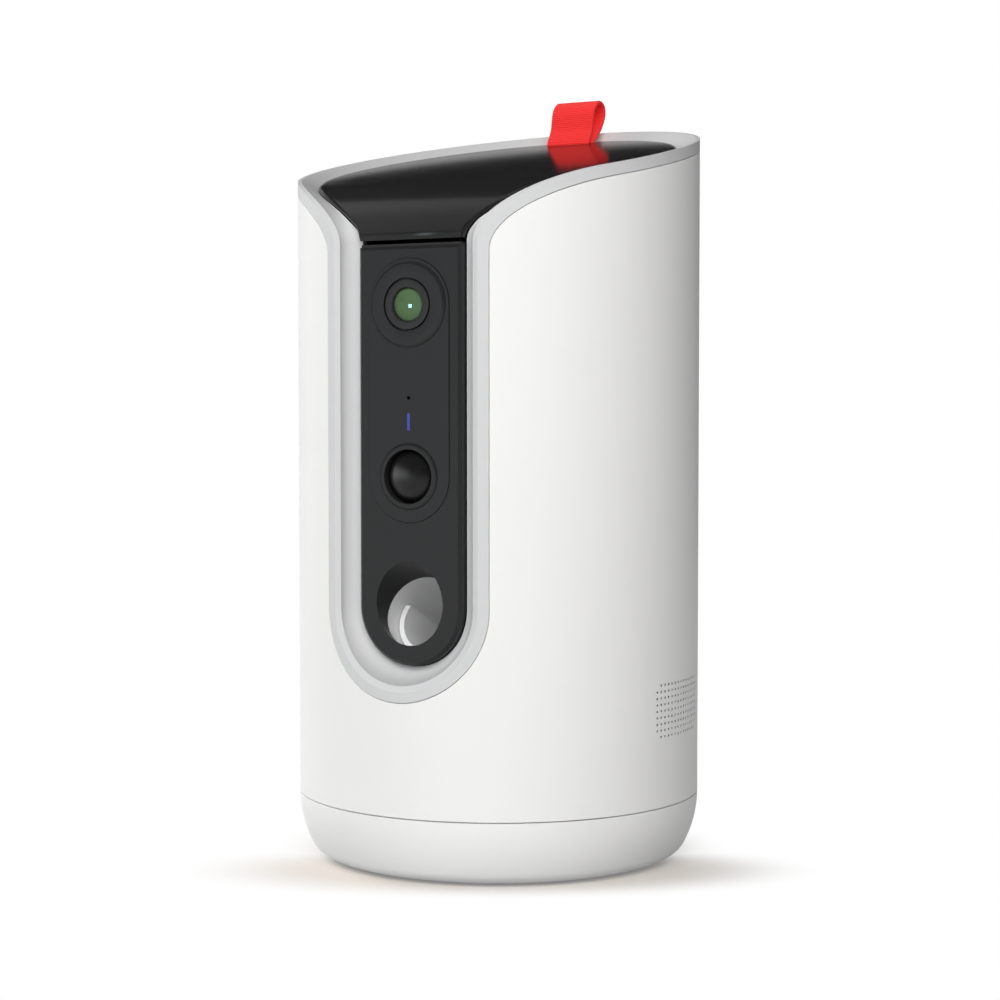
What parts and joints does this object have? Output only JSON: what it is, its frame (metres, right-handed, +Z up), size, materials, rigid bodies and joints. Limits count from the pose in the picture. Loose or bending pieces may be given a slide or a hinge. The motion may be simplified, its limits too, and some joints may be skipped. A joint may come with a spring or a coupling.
{
  "type": "treat tossing pet camera",
  "caption": "Upright cylindrical pet camera that throws treats: slanted lift-off lid over a treat bin, black front panel with lens and sensor, and a spring launcher in a round mouth.",
  "frame": {"origin": "centre of the round resting face, on the surface it stands on", "axes": "+Z up the housing's axis, -Y towards the front where the lens and the launch mouth are, +X to the right of someone who faces the front"},
  "size_m": [0.118, 0.118, 0.2279],
  "materials": {
    "shell_white": "satin white moulded plastic",
    "trim_grey": "satin light grey moulded plastic",
    "foot_rubber": "soft matt rubber",
    "screw_steel": "zinc plated steel",
    "ballast_iron": "stamped and blacked",
    "frame_grey": "moulded plastic, as moulded",
    "panel_black": "satin black moulded plastic",
    "window_black": "satin black, raised plate",
    "barrel_black": "black anodised",
    "lens_glass": "coated optical glass",
    "board_green": "solder-masked board",
    "part_black": "black moulded part",
    "capsule_metal": "drawn can",
    "light_blue": "translucent blue",
    "led_body": "clear",
    "dome_black": "polished dark moulded lens",
    "tube_grey": "smooth light grey",
    "scoop_grey": "smooth light grey",
    "gear_white": "natural acetal",
    "shaft_steel": "ground",
    "motor_steel": "plated can",
    "spring_steel": "spring wire",
    "wheel_grey": "food grade plastic",
    "hopper_clear": "food grade plastic",
    "lid_black": "polished black",
    "gasket_silicone": "soft silicone",
    "ribbon_red": "woven ribbon",
    "inlet_metal": "stamped shell",
    "cone_paper": "pressed paper"
  },
  "bodies": {
    "housing": {"outer_shell": "shell_white", "rim_trim": "trim_grey", "base_cup": "shell_white", "foot_ring": "foot_rubber", "base_screws": "screw_steel", "ballast_plate": "ballast_iron", "inner_frame": "frame_grey", "front_panel": "panel_black", "window_plate": "window_black", "lens_bezel": "panel_black", "lens_barrel": "barrel_black", "lens_glass": "lens_glass", "lens_holder": "part_black", "mic_capsule": "capsule_metal", "mic_boot": "foot_rubber", "led_light_pipe": "light_blue", "status_led": "led_body", "pir_ring": "panel_black", "pir_dome": "dome_black", "pir_sensor": "capsule_metal", "main_board": "board_green", "board_screws": "screw_steel", "launch_tube": "tube_grey", "launch_spring": "spring_steel", "drive_axle": "shaft_steel", "launch_motor": "motor_steel", "gearbox_cheek_left": "frame_grey", "gearbox_cheek_right": "frame_grey", "wheel_housing": "frame_grey", "drop_chute": "frame_grey", "dispenser_gearbox": "part_black", "dispenser_motor": "motor_steel", "hopper": "hopper_clear", "speaker_basket": "motor_steel", "speaker_cone": "cone_paper", "speaker_bracket": "frame_grey", "power_board": "board_green", "power_inlet": "inlet_metal", "reset_switch": "part_black"},
    "lid": {"lid_shell": "lid_black", "lid_gasket": "gasket_silicone", "pull_tab": "ribbon_red", "tab_anchor": "lid_black"},
    "scoop": {"scoop": "scoop_grey"},
    "drive_gear": {"drive_gear": "gear_white"},
    "motor_pinion": {"motor_pinion": "gear_white"},
    "dispenser_wheel": {"dispenser_wheel": "wheel_grey", "wheel_shaft": "shaft_steel"},
    "reset_button": {"reset_button": "shell_white"}
  },
  "joints": [
    {"name": "lid_lift", "type": "slide", "parent": "housing", "child": "lid", "axis": [0, 0, 1], "range_m": [0, 0.08]},
    {"name": "drive_gear_turn", "type": "hinge", "parent": "housing", "child": "drive_gear", "pos_m": [0, -0.02086, 0.03668], "axis": [-1, 0, 0], "range_deg": [0, 152.7], "stiffness_Nm_per_rad": 0.0065, "springref_deg": -31.51},
    {"name": "scoop_draw", "type": "slide", "parent": "housing", "child": "scoop", "axis": [0, 0.9063, -0.4226], "range_m": [0, 0.024], "deforming": ["launch_spring"]},
    {"name": "pinion_turn", "type": "hinge", "parent": "housing", "child": "motor_pinion", "pos_m": [0, -0.00844, 0.02537], "axis": [-1, 0, 0], "range_deg": [-382, 0]},
    {"name": "wheel_turn", "type": "hinge", "parent": "housing", "child": "dispenser_wheel", "pos_m": [0, 0.005, 0.09], "axis": [0, 0, 1], "continuous": true},
    {"name": "reset_press", "type": "slide", "parent": "housing", "child": "reset_button", "axis": [0, -1, 0], "range_m": [0, 0.0008], "stiffness_N_per_m": 400, "springref_m": -0.0005}
  ],
  "couplings": [
    {"joint": "scoop_draw", "follows": "drive_gear_turn", "m_per_rad": 0.009},
    {"joint": "pinion_turn", "follows": "drive_gear_turn", "ratio": -2.5}
  ]
}
